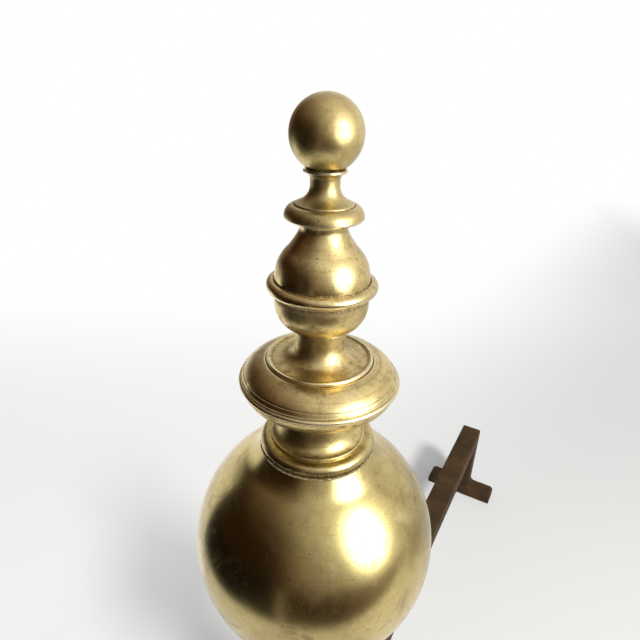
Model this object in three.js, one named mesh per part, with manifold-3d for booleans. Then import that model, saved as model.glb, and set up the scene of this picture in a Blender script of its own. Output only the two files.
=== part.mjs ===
// Ball-top andiron (firedog): hollow turned brass castings threaded on an iron tie rod, two arched
// front legs, and a wrought iron billet bar that bends down at the rear to a T-shaped cross foot.
// Millimetres, +Z up. The origin lies on the hearth, in the middle of the andiron's footprint.
// The column stands at the front (-Y) and the billet bar runs back (+Y).

import * as THREE from "three";
import { mergeVertices } from "three/addons/utils/BufferGeometryUtils.js";
import Module from "manifold-3d";

// ---- Driving dimensions: iron work --------------------------------------------------------------

const barTop = 93.3; // the face that carries the logs, above the hearth
const barWidth = 21.2;
const barHeight = 20.6; // also the thickness of the rear leg, which is the same bar bent down
const barReach = 408.5; // from the column's axis to the bar's rear face
const barNose = 12; // the bar's front end, ahead of the column's axis
const tongueDrop = 1; // how far the front end is dressed down, so that the block butts on a shoulder
const barEdge = 0.9; // worn edges of the bar
const bendRadius = 4; // outside corner of the rear bend

const rearFootHalfLength = 39.8;
const rearFootDepth = 21.4;
const rearFootHeight = 11.4;
const rearFootRound = 5; // upper end corners
const rearFootFillet = 5; // hollow where the foot swells up to the leg
const rearTenonRadius = 5.5;
const rearTenonStop = 1.5; // metal left between the tenon's riveted end and the hearth

const rodRadius = 4;
const threadRadius = 3.1; // thinned upper end that the finial screws on
const washerRadius = 9.5;
const washerThickness = 1.6;
const nutAcrossFlats = 13;
const nutThickness = 6.5;
const rodTail = 3; // rod end that shows below its nut

const fitGap = 0.3; // clearance of a piece that passes through or sits in another
const rodGap = 0.4; // clearance of the tie rod in the castings

// ---- Driving dimensions: turned brass -----------------------------------------------------------

const wall = 2.4; // thickness of the hollow castings

const ballRadius = 50.8;
const ballSeat = 49.8; // from the ball's centre to the flat that a collar stands on
const ballSeatRadius = 22.2;
const ballShoulderRadius = 28.5; // where the round of the ball turns into the neck under a collar
const ballPoleHole = 11;

const collarHeight = 5.2; // a half-round, so it stands out by half of this
const collarInset = 2.3; // from the ball's seat edge in to the middle of the half-round

const discLowerHeight = 26.8;
const discUpperHeight = 6.4;
const discRadius = 29.9; // over the bead
const discBeadHeight = 2.3;
const discBeadDepth = 1.1;
const discUndersideHeight = 7.6;
const discUndersideReach = 9.8;
const discNeckRadius = 13.6;
const discFootRadius = 18.3;
const discRimHeight = 0.3; // recess that the vase's foot sits in
const discRimWidth = 0.5;
const discShoulderReach = 6.4; // from the rim out to where the top starts to fall away
const discShoulderDrop = 1.6;

const vaseFootRadius = 19.5;
const vaseFootEdge = 1.4;
const vaseLowerHeight = 27.7;
const vaseWaistRadius = 9.1;
const vaseWaistHeight = 6.3; // where the foot's hollow turns into the straight neck
const vaseFilletRadius = 10.2;
const vaseFilletHeight = 12.9; // underside of the fillet that ends the neck, hidden by the bulb
const vaseFilletThickness = 0.7;
const vaseBulbRadius = 16.4;
const vaseBulbReach = 8; // how far the bowl curves in from its widest radius
const vaseBulbDrop = 4.7; // from the waist down to the bowl's widest level
const vaseLipRadius = 16.9; // thin lip under the waist ring
const vaseUpperHeight = 24.6;
const vaseBellRadius = 16.5;
const waistRingRadius = 19.2; // over the round at the widest part of the vase
const waistRingDepth = 2.4; // how far the ring's round stands out
const waistRingHeight = 3.9;
const vaseNeckRadius = 8;
const vaseTopRadius = 8.7;

const finialSkirtRadius = 13.2;
const finialSkirtHeight = 4.5;
const finialGrooveRadius = 9.7;
const finialNeckRadius = 4.8;
const finialNeckFoot = 10.2; // where the skirt's flare ends
const finialNeckTop = 12.4; // where the neck starts to widen under the fillet
const finialFilletRadius = 7.1;
const finialFilletHeight = 14.7;
const finialFilletThickness = 0.8;
const finialBallRadius = 11.67;
const finialBallFoot = 5.5; // radius at which the ball meets the fillet
const finialSocketDepth = 9.5;

const stemNeckHeight = 20;
const stemNeckRadius = 11.5;
const stemBeadRadius = 16.5;
const stemBeadHeight = 5;
const balusterHeight = 54;
const balusterTopRadius = 11;
const balusterBellyRadius = 25;
const balusterFootRadius = 15;
const stemBaseHeight = 19;
const stemTorusRadius = 28;
const stemTorusHeight = 8;

// ---- Driving dimensions: plinth and front legs --------------------------------------------------

const plinthCapHeight = 12;
const plinthCapHalf = 36;
const plinthDieHeight = 40;
const plinthDieHalf = 28.5;
const plinthDieWall = 3;
const plinthBaseRise = 20.4; // from the bar's top to the top of the base moulding
const plinthBaseHalf = 34;
const blockHalf = 24; // the block under the base moulding, which straddles the bar
const blockSkirt = 2.2; // how far the block hangs below the bar

const legReach = 106; // from the column's axis to the middle of a front foot
const legRootDepth = 24;
const legRootWidth = 17;
const legAnkleDepth = 10;
const legAnkleWidth = 10;
const legKneeRise = 5; // the knee's height above the leg's root
const legTenonLength = 9;
const legTenonDepth = 12;
const legTenonWidth = 9;
const legPinRadius = 1.7;
const spurLength = 17;
const spurRadius = 4.6;
const footBallRadius = 13.5;
const footPadRadius = 11;
const footPadHeight = 3.6;

// ---- Heights of the stack, from the bar upwards -------------------------------------------------

const barBottom = barTop - barHeight;
const plinthBaseLevel = barBottom - blockSkirt;
const plinthDieLevel = barTop + plinthBaseRise;
const plinthCapLevel = plinthDieLevel + plinthDieHeight;
const stemBaseLevel = plinthCapLevel + plinthCapHeight;
const balusterLevel = stemBaseLevel + stemBaseHeight;
const stemNeckLevel = balusterLevel + balusterHeight;
const collarLowerLevel = stemNeckLevel + stemNeckHeight;
const ballLevel = collarLowerLevel + collarHeight + ballSeat;
const collarUpperLevel = ballLevel + ballSeat;
const discLowerLevel = collarUpperLevel + collarHeight;
const discUpperLevel = discLowerLevel + discLowerHeight;
const vaseLowerLevel = discUpperLevel + discUpperHeight;
const vaseUpperLevel = vaseLowerLevel + vaseLowerHeight;
const finialLevel = vaseUpperLevel + vaseUpperHeight;

const boreRadius = rodRadius + rodGap;
const legRootLevel = (barTop + barBottom) / 2 + blockSkirt;
const quarter = Math.PI / 2;

// ---- Materials ----------------------------------------------------------------------------------

const turnedBrass = () => new THREE.MeshStandardMaterial({ color: 0xb39a5c, roughness: 0.32, metalness: 1 });
const castBrass = () => new THREE.MeshStandardMaterial({ color: 0xa88c50, roughness: 0.4, metalness: 1 });
const wroughtIron = () => new THREE.MeshStandardMaterial({ color: 0x4b3a2c, roughness: 0.85, metalness: 0.5 });
const rodIron = () => new THREE.MeshStandardMaterial({ color: 0x5a5148, roughness: 0.6, metalness: 0.8 });

// ---- Solids -------------------------------------------------------------------------------------

const wasm = await Module();
wasm.setup();

// One closed skin: shared corners merged, triangles that shrank to a line left out, faces outwards.
function closedSkin(geometry) {
  const bare = geometry.clone();
  bare.deleteAttribute("normal");
  bare.deleteAttribute("uv");
  const merged = mergeVertices(bare, 1e-4);
  const corners = merged.index.array;
  const kept = [];
  let volume = 0;
  const [a, b, c] = [new THREE.Vector3(), new THREE.Vector3(), new THREE.Vector3()];
  for (let i = 0; i < corners.length; i += 3) {
    const [p, q, r] = [corners[i], corners[i + 1], corners[i + 2]];
    if (p === q || q === r || r === p) continue;
    kept.push(p, q, r);
    a.fromBufferAttribute(merged.attributes.position, p);
    b.fromBufferAttribute(merged.attributes.position, q);
    c.fromBufferAttribute(merged.attributes.position, r);
    volume += a.dot(b.cross(c));
  }
  if (volume < 0) kept.reverse();
  merged.setIndex(kept);
  merged.computeVertexNormals();
  return merged;
}

function toSolid(geometry) {
  const skin = closedSkin(geometry);
  const vertProperties = new Float32Array(skin.attributes.position.array);
  const triVerts = new Uint32Array(skin.index.array);
  return new wasm.Manifold(new wasm.Mesh({ numProp: 3, vertProperties, triVerts }));
}

function toGeometry(solid) {
  const mesh = solid.getMesh();
  const geometry = new THREE.BufferGeometry();
  geometry.setAttribute("position", new THREE.BufferAttribute(mesh.vertProperties, 3));
  geometry.setIndex(new THREE.BufferAttribute(mesh.triVerts, 1));
  geometry.computeVertexNormals();
  return geometry;
}

// A profile of radius against height, turned about the column's axis: the skin that shows, then,
// on a hollow piece, the unseen inside, which needs fewer facets and leads back to the skin's start.
function turned(skin, sides, inside = null) {
  const outline = skin.getPoints(3);
  if (inside) outline.push(...inside.getPoints(2));
  const geometry = new THREE.LatheGeometry(outline, sides);
  return closedSkin(geometry.rotateX(quarter));
}

// A small half-round that stands out by its depth, drawn upwards.
function bead(outline, radius, level, depth, height) {
  for (const turn of [-2, -1, 0, 1, 2]) {
    const angle = (turn * Math.PI) / 4;
    const out = radius + depth * Math.cos(angle);
    outline.lineTo(out, level + (height / 2) * (1 + Math.sin(angle)));
  }
}

// A profile of half width against height, run round a square with mitred corners.
function mitred(outline, detail = 3) {
  const corner = (point) => new THREE.Vector2(point.x * Math.SQRT2, point.y);
  const geometry = new THREE.LatheGeometry(outline.getPoints(detail).map(corner), 4, Math.PI / 4);
  return closedSkin(geometry.rotateX(quarter));
}

function box(width, depth, height, x = 0, y = 0, z = 0) {
  return new THREE.BoxGeometry(width, depth, height).translate(x, y, z);
}

// An upright round bar from one height to another.
function post(radius, bottom, top, sides = 16) {
  const geometry = new THREE.CylinderGeometry(radius, radius, top - bottom, sides);
  return geometry.rotateX(quarter).translate(0, 0, (top + bottom) / 2);
}

// A round pin that lies front to back.
function crossPin(radius, length) {
  return new THREE.CylinderGeometry(radius, radius, length, 12);
}

// A skin over rings of equally many points, closed at both ends.
function loft(rings) {
  const count = rings[0].length;
  const points = rings.flat();
  const middle = (ring) => ring.reduce((sum, p) => sum.add(p), new THREE.Vector3()).divideScalar(count);
  points.push(middle(rings[0]), middle(rings.at(-1)));
  const first = points.length - 2;
  const last = points.length - 1;
  const lastRing = (rings.length - 1) * count;
  const index = [];
  for (let i = 0; i < count; i += 1) {
    const next = (i + 1) % count;
    for (let row = 0; row < lastRing; row += count) {
      index.push(row + i, row + next, row + count + next);
      index.push(row + i, row + count + next, row + count + i);
    }
    index.push(first, next, i);
    index.push(last, lastRing + i, lastRing + next);
  }
  const geometry = new THREE.BufferGeometry();
  geometry.setAttribute("position", new THREE.Float32BufferAttribute(points.flatMap((p) => p.toArray()), 3));
  geometry.setIndex(index);
  return closedSkin(geometry);
}

// ---- Turned castings, each from its own seat upwards --------------------------------------------

function finialGeometry() {
  const socketRadius = threadRadius + fitGap;
  const skirtEdge = 0.8;
  const flareFoot = finialSkirtHeight + 0.5;
  const filletTop = finialFilletHeight + finialFilletThickness;
  const drop = Math.sqrt(finialBallRadius ** 2 - finialBallFoot ** 2);
  const skin = new THREE.Path();
  skin.moveTo(0, finialSocketDepth);
  skin.lineTo(socketRadius, finialSocketDepth);
  skin.lineTo(socketRadius, 0);
  skin.lineTo(finialSkirtRadius - 0.5, 0);
  skin.lineTo(finialSkirtRadius, skirtEdge);
  skin.absellipse(
    finialGrooveRadius, skirtEdge,
    finialSkirtRadius - finialGrooveRadius, finialSkirtHeight - skirtEdge,
    0, quarter,
  );
  skin.lineTo(finialGrooveRadius - 0.2, flareFoot);
  skin.quadraticCurveTo(
    finialNeckRadius + 0.4, flareFoot + finialNeckFoot * 0.16,
    finialNeckRadius, finialNeckFoot,
  );
  skin.lineTo(finialNeckRadius, finialNeckTop);
  skin.quadraticCurveTo(
    finialNeckRadius + 0.2, finialFilletHeight - 0.7,
    finialFilletRadius, finialFilletHeight,
  );
  skin.lineTo(finialFilletRadius, filletTop);
  skin.absarc(0, filletTop + drop, finialBallRadius, -Math.acos(finialBallFoot / finialBallRadius), quarter);
  return turned(skin, 22);
}

function vaseUpperGeometry() {
  const bellTop = vaseUpperHeight * 0.59;
  const neckTop = vaseUpperHeight * 0.85;
  const mouth = vaseBellRadius - wall;
  const skin = new THREE.Path();
  skin.moveTo(mouth, 0);
  bead(skin, waistRingRadius - waistRingDepth, 0, waistRingDepth, waistRingHeight);
  skin.lineTo(vaseBellRadius, waistRingHeight);
  skin.quadraticCurveTo(vaseBellRadius - 0.1, vaseUpperHeight * 0.42, vaseBellRadius * 0.74, bellTop);
  skin.quadraticCurveTo(vaseNeckRadius + 1.2, vaseUpperHeight * 0.74, vaseNeckRadius, neckTop);
  skin.lineTo(vaseNeckRadius, vaseUpperHeight - 1.2);
  skin.lineTo(vaseTopRadius, vaseUpperHeight - 0.5);
  skin.lineTo(vaseTopRadius, vaseUpperHeight);
  const inside = new THREE.Path();
  inside.moveTo(boreRadius, vaseUpperHeight);
  inside.lineTo(boreRadius, neckTop - wall);
  inside.quadraticCurveTo(mouth, bellTop - wall, mouth, waistRingHeight);
  inside.lineTo(mouth, 0);
  return turned(skin, 24, inside);
}

function vaseLowerGeometry() {
  const bulbFoot = vaseFilletHeight + vaseFilletThickness;
  const bulbTop = vaseLowerHeight - vaseBulbDrop;
  const bulbMiddle = vaseBulbRadius - vaseBulbReach;
  const bulbMeet = Math.acos((vaseFilletRadius - 0.3 - bulbMiddle) / vaseBulbReach);
  const mouth = vaseBellRadius - wall;
  const skin = new THREE.Path();
  skin.moveTo(boreRadius, 0);
  skin.lineTo(vaseFootRadius, 0);
  skin.lineTo(vaseFootRadius, vaseFootEdge);
  skin.lineTo(vaseFootRadius - 0.9, vaseFootEdge);
  skin.lineTo(vaseFootRadius - 1.8, vaseFootEdge - 0.5);
  skin.quadraticCurveTo(vaseWaistRadius + 0.3, vaseFootEdge - 0.7, vaseWaistRadius, vaseWaistHeight);
  skin.lineTo(vaseWaistRadius, vaseFilletHeight - 0.5);
  skin.lineTo(vaseFilletRadius, vaseFilletHeight);
  skin.lineTo(vaseFilletRadius, bulbFoot);
  skin.absellipse(bulbMiddle, bulbTop, vaseBulbReach, bulbTop - bulbFoot, -bulbMeet, 0);
  skin.lineTo(vaseBulbRadius, vaseLowerHeight - 1.1);
  skin.lineTo(vaseLipRadius, vaseLowerHeight - 0.7);
  skin.lineTo(vaseLipRadius, vaseLowerHeight);
  const inside = new THREE.Path();
  inside.moveTo(mouth, vaseLowerHeight);
  inside.lineTo(mouth, bulbTop);
  inside.quadraticCurveTo(mouth, bulbFoot + wall, boreRadius, bulbFoot + wall);
  inside.lineTo(boreRadius, 0);
  return turned(skin, 24, inside);
}

function discUpperGeometry() {
  const lip = discRadius - discBeadDepth;
  const rimRadius = vaseFootRadius + fitGap;
  const rimTop = discUpperHeight + discRimHeight;
  const skin = new THREE.Path();
  skin.moveTo(lip - wall, 0);
  skin.lineTo(lip + 0.3, 0);
  skin.lineTo(lip + 0.3, 0.6);
  skin.lineTo(lip - 0.4, 0.7);
  skin.quadraticCurveTo(
    rimRadius + discShoulderReach, rimTop - discShoulderDrop,
    rimRadius + discRimWidth, rimTop,
  );
  skin.lineTo(rimRadius + 0.1, rimTop);
  skin.lineTo(rimRadius, discUpperHeight);
  const inside = new THREE.Path();
  inside.moveTo(boreRadius, discUpperHeight);
  inside.lineTo(boreRadius, discUpperHeight - wall);
  inside.lineTo(rimRadius - wall, discUpperHeight - wall);
  inside.quadraticCurveTo(
    rimRadius + discShoulderReach / 2, discUpperHeight - wall - 0.6,
    lip - wall, 0,
  );
  return turned(skin, 28, inside);
}

function discLowerGeometry() {
  const lip = discRadius - discBeadDepth;
  const beadFoot = discLowerHeight - discBeadHeight;
  const undersideFoot = beadFoot - discUndersideHeight;
  const undersideRadius = lip - discUndersideReach;
  const footEdge = 0.8;
  const skin = new THREE.Path();
  skin.moveTo(boreRadius, 0);
  skin.lineTo(discFootRadius, 0);
  skin.lineTo(discFootRadius, footEdge);
  skin.lineTo(discFootRadius - 0.7, footEdge);
  skin.quadraticCurveTo(discNeckRadius, 2.4, discNeckRadius, undersideFoot * 0.62);
  skin.quadraticCurveTo(discNeckRadius, undersideFoot - 1.4, undersideRadius - 2, undersideFoot - 0.1);
  skin.absellipse(undersideRadius, beadFoot, discUndersideReach, discUndersideHeight, -quarter, 0);
  bead(skin, lip, beadFoot, discBeadDepth, discBeadHeight);
  const inside = new THREE.Path();
  inside.moveTo(lip - wall, discLowerHeight);
  inside.quadraticCurveTo(lip - wall, undersideFoot + wall, discNeckRadius - wall, undersideFoot + wall);
  inside.lineTo(discNeckRadius - wall, footEdge + wall);
  inside.lineTo(boreRadius, footEdge + wall);
  inside.lineTo(boreRadius, 0);
  return turned(skin, 28, inside);
}

// The half-round stands on the ball's seat above the ball, and is turned over below it.
function collarGeometry() {
  const half = collarHeight / 2;
  const middle = ballSeatRadius - collarInset;
  const skin = new THREE.Path();
  skin.moveTo(ballPoleHole, 0);
  skin.lineTo(middle + half * Math.cos(quarter * 0.7), 0);
  skin.absarc(middle, half, half, -quarter * 0.7, quarter);
  skin.lineTo(ballPoleHole, collarHeight);
  skin.lineTo(ballPoleHole, 0);
  return turned(skin, 24);
}

// Half of the ball, from its brazed joint at the equator up to the seat.
function ballHalfGeometry() {
  const shoulder = Math.acos(ballShoulderRadius / ballRadius);
  const shoulderLevel = ballRadius * Math.sin(shoulder);
  const inner = ballRadius - wall;
  const innerMouth = Math.acos((ballSeatRadius - wall) / inner);
  const skin = new THREE.Path();
  skin.moveTo(inner, 0);
  skin.lineTo(ballRadius, 0);
  skin.absarc(0, 0, ballRadius, 0, shoulder);
  skin.quadraticCurveTo(
    ballShoulderRadius - 4 * Math.sin(shoulder), shoulderLevel + 4 * Math.cos(shoulder),
    ballSeatRadius, ballSeat - 0.4,
  );
  skin.lineTo(ballSeatRadius, ballSeat);
  const inside = new THREE.Path();
  inside.moveTo(ballPoleHole, ballSeat);
  inside.lineTo(ballPoleHole, inner * Math.sin(innerMouth));
  inside.absarc(0, 0, inner, innerMouth, 0, true);
  return turned(skin, 32, inside);
}

function stemNeckGeometry() {
  const rimEdge = 0.8;
  const skin = new THREE.Path();
  skin.moveTo(boreRadius, 0);
  bead(skin, stemBeadRadius - stemBeadHeight / 2, 0, stemBeadHeight / 2, stemBeadHeight);
  skin.lineTo(stemNeckRadius + 0.6, stemBeadHeight);
  skin.lineTo(stemNeckRadius, stemBeadHeight + 0.8);
  skin.lineTo(stemNeckRadius, stemBeadHeight + 3);
  skin.quadraticCurveTo(
    stemNeckRadius, stemNeckHeight - 3,
    discFootRadius - 0.7, stemNeckHeight - rimEdge,
  );
  skin.lineTo(discFootRadius, stemNeckHeight - rimEdge);
  skin.lineTo(discFootRadius, stemNeckHeight);
  skin.lineTo(boreRadius, stemNeckHeight);
  skin.lineTo(boreRadius, 0);
  return turned(skin, 24);
}

function balusterGeometry() {
  const bellyLevel = balusterHeight * 0.42;
  const topEdge = balusterHeight - 1.6;
  const skin = new THREE.Path();
  skin.moveTo(boreRadius, 0);
  skin.lineTo(balusterFootRadius, 0);
  skin.lineTo(balusterFootRadius, 1.2);
  skin.quadraticCurveTo(balusterBellyRadius, bellyLevel * 0.3, balusterBellyRadius, bellyLevel);
  skin.quadraticCurveTo(
    balusterBellyRadius, balusterHeight * 0.56,
    (balusterBellyRadius + balusterTopRadius) / 2, balusterHeight * 0.66,
  );
  skin.quadraticCurveTo(balusterTopRadius, balusterHeight * 0.76, balusterTopRadius, topEdge - 3);
  skin.lineTo(balusterTopRadius + 0.4, topEdge - 0.8);
  skin.lineTo(balusterTopRadius + 1.6, topEdge);
  skin.lineTo(balusterTopRadius + 1.6, balusterHeight);
  const inside = new THREE.Path();
  inside.moveTo(boreRadius, balusterHeight);
  inside.lineTo(boreRadius, balusterHeight * 0.66);
  inside.quadraticCurveTo(
    balusterBellyRadius - wall, balusterHeight * 0.56,
    balusterBellyRadius - wall, bellyLevel,
  );
  inside.quadraticCurveTo(balusterBellyRadius - wall, wall * 2.4, balusterFootRadius - wall, wall);
  inside.lineTo(boreRadius, wall);
  inside.lineTo(boreRadius, 0);
  return turned(skin, 24, inside);
}

function stemBaseGeometry() {
  const half = stemTorusHeight / 2;
  const fillet = stemTorusHeight + 1.4;
  const shelf = stemBaseHeight - 2.4;
  const skin = new THREE.Path();
  skin.moveTo(boreRadius, 0);
  skin.lineTo(stemTorusRadius - half, 0);
  skin.absarc(stemTorusRadius - half, half, half, -quarter, quarter);
  skin.lineTo(stemTorusRadius - half - 1, stemTorusHeight);
  skin.lineTo(stemTorusRadius - half - 1, fillet);
  skin.quadraticCurveTo(balusterFootRadius, fillet, balusterFootRadius, shelf);
  skin.lineTo(balusterFootRadius + 2.6, shelf);
  skin.lineTo(balusterFootRadius + 2.6, stemBaseHeight);
  skin.lineTo(boreRadius, stemBaseHeight);
  skin.lineTo(boreRadius, 0);
  return turned(skin, 24);
}

// ---- Plinth -------------------------------------------------------------------------------------

function drilled(geometry, radius, bottom, top) {
  return toGeometry(toSolid(geometry).subtract(toSolid(post(radius, bottom - 1, top + 1))));
}

function plinthCapGeometry() {
  const shelf = 2;
  const corona = 4;
  const topHalf = stemTorusRadius + 2.5;
  const outline = new THREE.Path();
  outline.moveTo(0, 0);
  outline.lineTo(plinthDieHalf + 0.6, 0);
  outline.lineTo(plinthDieHalf + 0.6, shelf);
  outline.quadraticCurveTo(plinthDieHalf + 1.4, plinthCapHeight - corona - shelf, plinthCapHalf, shelf + corona);
  outline.lineTo(plinthCapHalf, plinthCapHeight - shelf);
  outline.quadraticCurveTo(plinthCapHalf - 0.6, plinthCapHeight - 0.3, topHalf, plinthCapHeight);
  outline.lineTo(0, plinthCapHeight);
  return drilled(mitred(outline), boreRadius, 0, plinthCapHeight);
}

// A square tube between the two mouldings.
function plinthDieGeometry() {
  const outline = new THREE.Path();
  outline.moveTo(plinthDieHalf - plinthDieWall, 0);
  outline.lineTo(plinthDieHalf, 0);
  outline.lineTo(plinthDieHalf, plinthDieHeight);
  outline.lineTo(plinthDieHalf - plinthDieWall, plinthDieHeight);
  outline.lineTo(plinthDieHalf - plinthDieWall, 0);
  return mitred(outline);
}

// The base moulding over a block that straddles the bar, with a mortise each side for a leg.
function plinthBaseGeometry() {
  const height = plinthDieLevel - plinthBaseLevel;
  const carried = barTop - plinthBaseLevel;
  const roof = carried - tongueDrop;
  const slotHalf = barWidth / 2 + fitGap;
  const slotFront = -barNose - fitGap;
  const mouldingFoot = carried + plinthBaseRise * 0.25;
  const mouldingEdge = carried + plinthBaseRise * 0.6;
  const outline = new THREE.Path();
  outline.moveTo(0, 0);
  outline.lineTo(blockHalf, 0);
  outline.lineTo(blockHalf, mouldingFoot);
  outline.lineTo(blockHalf + 1.5, mouldingFoot);
  outline.quadraticCurveTo(blockHalf + 2, mouldingEdge - 1, plinthBaseHalf, mouldingEdge);
  outline.lineTo(plinthBaseHalf, height - 3.4);
  outline.quadraticCurveTo(plinthBaseHalf - 0.4, height - 0.6, plinthDieHalf + 1.2, height);
  outline.lineTo(0, height);
  const slotDepth = 2 * plinthBaseHalf;
  const slot = box(2 * slotHalf, slotDepth, roof + 1, 0, slotFront + slotDepth / 2, (roof - 1) / 2);
  let block = toSolid(mitred(outline)).subtract(toSolid(slot));
  block = block.subtract(toSolid(post(boreRadius, roof - 1, height + 1)));
  const root = legRootLevel - plinthBaseLevel;
  for (const side of [-1, 1]) {
    const middle = side * (blockHalf - (legTenonLength + fitGap) / 2 + 1);
    const mortise = box(
      legTenonLength + fitGap + 2, legTenonWidth + 2 * fitGap, legTenonDepth + 2 * fitGap,
      middle, 0, root,
    );
    const hole = crossPin(legPinRadius + fitGap, 3 * blockHalf);
    hole.translate(side * (blockHalf - legTenonLength / 2), 0, root);
    block = block.subtract(toSolid(mortise)).subtract(toSolid(hole));
  }
  return toGeometry(block);
}

// ---- Front legs ---------------------------------------------------------------------------------

// Height above the hearth and distance from the axis of the leg's middle line, from root to ankle.
function legLine() {
  const span = legReach - blockHalf;
  const footTop = footPadHeight + 1.75 * footBallRadius;
  const drop = legRootLevel - footTop;
  return new THREE.CatmullRomCurve3([
    new THREE.Vector3(blockHalf, 0, legRootLevel),
    new THREE.Vector3(blockHalf + span * 0.24, 0, legRootLevel + legKneeRise),
    new THREE.Vector3(blockHalf + span * 0.5, 0, legRootLevel - drop * 0.06),
    new THREE.Vector3(blockHalf + span * 0.74, 0, legRootLevel - drop * 0.42),
    new THREE.Vector3(blockHalf + span * 0.9, 0, legRootLevel - drop * 0.82),
    new THREE.Vector3(legReach, 0, footTop - 3),
  ]);
}

// An oval section square to the middle line; the root's section is upright, against the block.
function legRing(line, t, depth, width, sides) {
  const centre = line.getPoint(t);
  const along = t === 0 ? new THREE.Vector3(1, 0, 0) : line.getTangent(t);
  const across = new THREE.Vector3(-along.z, 0, along.x);
  const ring = [];
  for (let i = 0; i < sides; i += 1) {
    const angle = (2 * Math.PI * i) / sides;
    const up = Math.sign(Math.cos(angle)) * Math.abs(Math.cos(angle)) ** 0.8;
    const out = Math.sign(Math.sin(angle)) * Math.abs(Math.sin(angle)) ** 0.8;
    const point = centre.clone().addScaledVector(across, (up * depth) / 2);
    ring.push(point.setY((out * width) / 2));
  }
  return ring;
}

function legShaft(line) {
  const stations = 13;
  const rings = [];
  for (let i = 0; i <= stations; i += 1) {
    const t = i / stations;
    const taper = THREE.MathUtils.smoothstep(t, 0.08, 0.88);
    const depth = THREE.MathUtils.lerp(legRootDepth, legAnkleDepth, taper);
    const width = THREE.MathUtils.lerp(legRootWidth, legAnkleWidth, taper);
    rings.push(legRing(line, t, depth, width, 12));
  }
  return loft(rings);
}

// The spur: a claw that leaves the knee outwards and curls up to a point.
function legSpur(line) {
  const root = line.getPoint(0.5);
  const tip = new THREE.Vector3(root.x + spurLength * 0.95, 0, root.z + spurLength * 0.75);
  const bend = new THREE.Vector3(root.x + spurLength * 0.7, 0, root.z + spurLength * 0.1);
  const curl = new THREE.QuadraticBezierCurve3(root, bend, tip);
  const stations = 5;
  const rings = [];
  for (let i = 0; i <= stations; i += 1) {
    const t = i / stations;
    const size = 2 * spurRadius * (1 - 0.88 * t ** 1.3);
    rings.push(legRing(curl, Math.max(t, 0.01), size, size * 0.8, 8));
  }
  return loft(rings);
}

// A ball on a round pad, with a small ring round the ankle.
function frontFoot() {
  const ballCentre = footPadHeight + footBallRadius * 0.82;
  const padMeet = Math.asin(-0.72);
  const ankleMeet = Math.asin(0.86);
  const ringLevel = ballCentre + footBallRadius * 0.86;
  const ankle = legAnkleWidth / 2;
  const outline = new THREE.Path();
  outline.moveTo(0, 0);
  outline.lineTo(footPadRadius - 0.8, 0);
  outline.lineTo(footPadRadius, 0.8);
  outline.lineTo(footPadRadius, footPadHeight - 0.6);
  outline.lineTo(footPadRadius - 1, footPadHeight);
  outline.absarc(0, ballCentre, footBallRadius, padMeet, ankleMeet);
  outline.lineTo(ankle + 3, ringLevel);
  outline.lineTo(ankle + 3, ringLevel + 1.6);
  outline.lineTo(0, ringLevel + 2.6);
  return turned(outline, 16).translate(legReach, 0, 0);
}

function legGeometry() {
  const line = legLine();
  const tenonMiddle = blockHalf - legTenonLength / 2 + 1;
  const tenon = box(legTenonLength + 2, legTenonWidth, legTenonDepth, tenonMiddle, 0, legRootLevel);
  const hole = crossPin(legPinRadius + fitGap, 2 * blockHalf);
  hole.translate(blockHalf - legTenonLength / 2, 0, legRootLevel);
  let leg = toSolid(legShaft(line)).add(toSolid(legSpur(line))).add(toSolid(frontFoot()));
  leg = leg.add(toSolid(tenon)).subtract(toSolid(hole));
  return toGeometry(leg);
}

// A pin right through the block and a tenon, dressed flush in front and behind.
function legPinGeometry() {
  return crossPin(legPinRadius, 2 * blockHalf);
}

// ---- Iron work ----------------------------------------------------------------------------------

// The bar seen from its side, Y against height above the bar's top: straight, then bent down. Its
// front end, under the block, is a tongue that stops at a shoulder against the block's rear face.
function billetBarGeometry() {
  const legBottom = rearFootHeight + rearFootFillet - barTop;
  const inner = barReach - barHeight;
  const side = new THREE.Shape();
  side.moveTo(-barNose + barEdge, -barEdge);
  side.lineTo(barReach - bendRadius, -barEdge);
  side.absarc(barReach - bendRadius, -bendRadius, bendRadius - barEdge, quarter, 0, true);
  side.lineTo(barReach - barEdge, legBottom + barEdge);
  side.lineTo(inner + barEdge, legBottom + barEdge);
  side.lineTo(inner + barEdge, -barHeight + barEdge);
  side.lineTo(-barNose + barEdge, -barHeight + barEdge);
  side.closePath();
  const profile = new THREE.ExtrudeGeometry(side, {
    depth: barWidth - 2 * barEdge,
    bevelThickness: barEdge,
    bevelSize: barEdge,
    bevelSegments: 1,
    curveSegments: 5,
  });
  profile.translate(0, 0, -barWidth / 2 + barEdge).rotateX(quarter).rotateZ(quarter);
  const rodHole = post(boreRadius, -barHeight - 1, 1);
  const tenonBottom = rearTenonStop - barTop;
  const tenon = post(rearTenonRadius, tenonBottom, legBottom + 1).translate(0, barReach - barHeight / 2, 0);
  const tongueLength = barNose + blockHalf + fitGap;
  const dressed = box(
    barWidth + 2, tongueLength + 1, tongueDrop + 1,
    0, (tongueLength - 1) / 2 - barNose, (1 - tongueDrop) / 2,
  );
  const bar = toSolid(profile).subtract(toSolid(rodHole)).subtract(toSolid(dressed));
  return toGeometry(bar.add(toSolid(tenon)));
}

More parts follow.
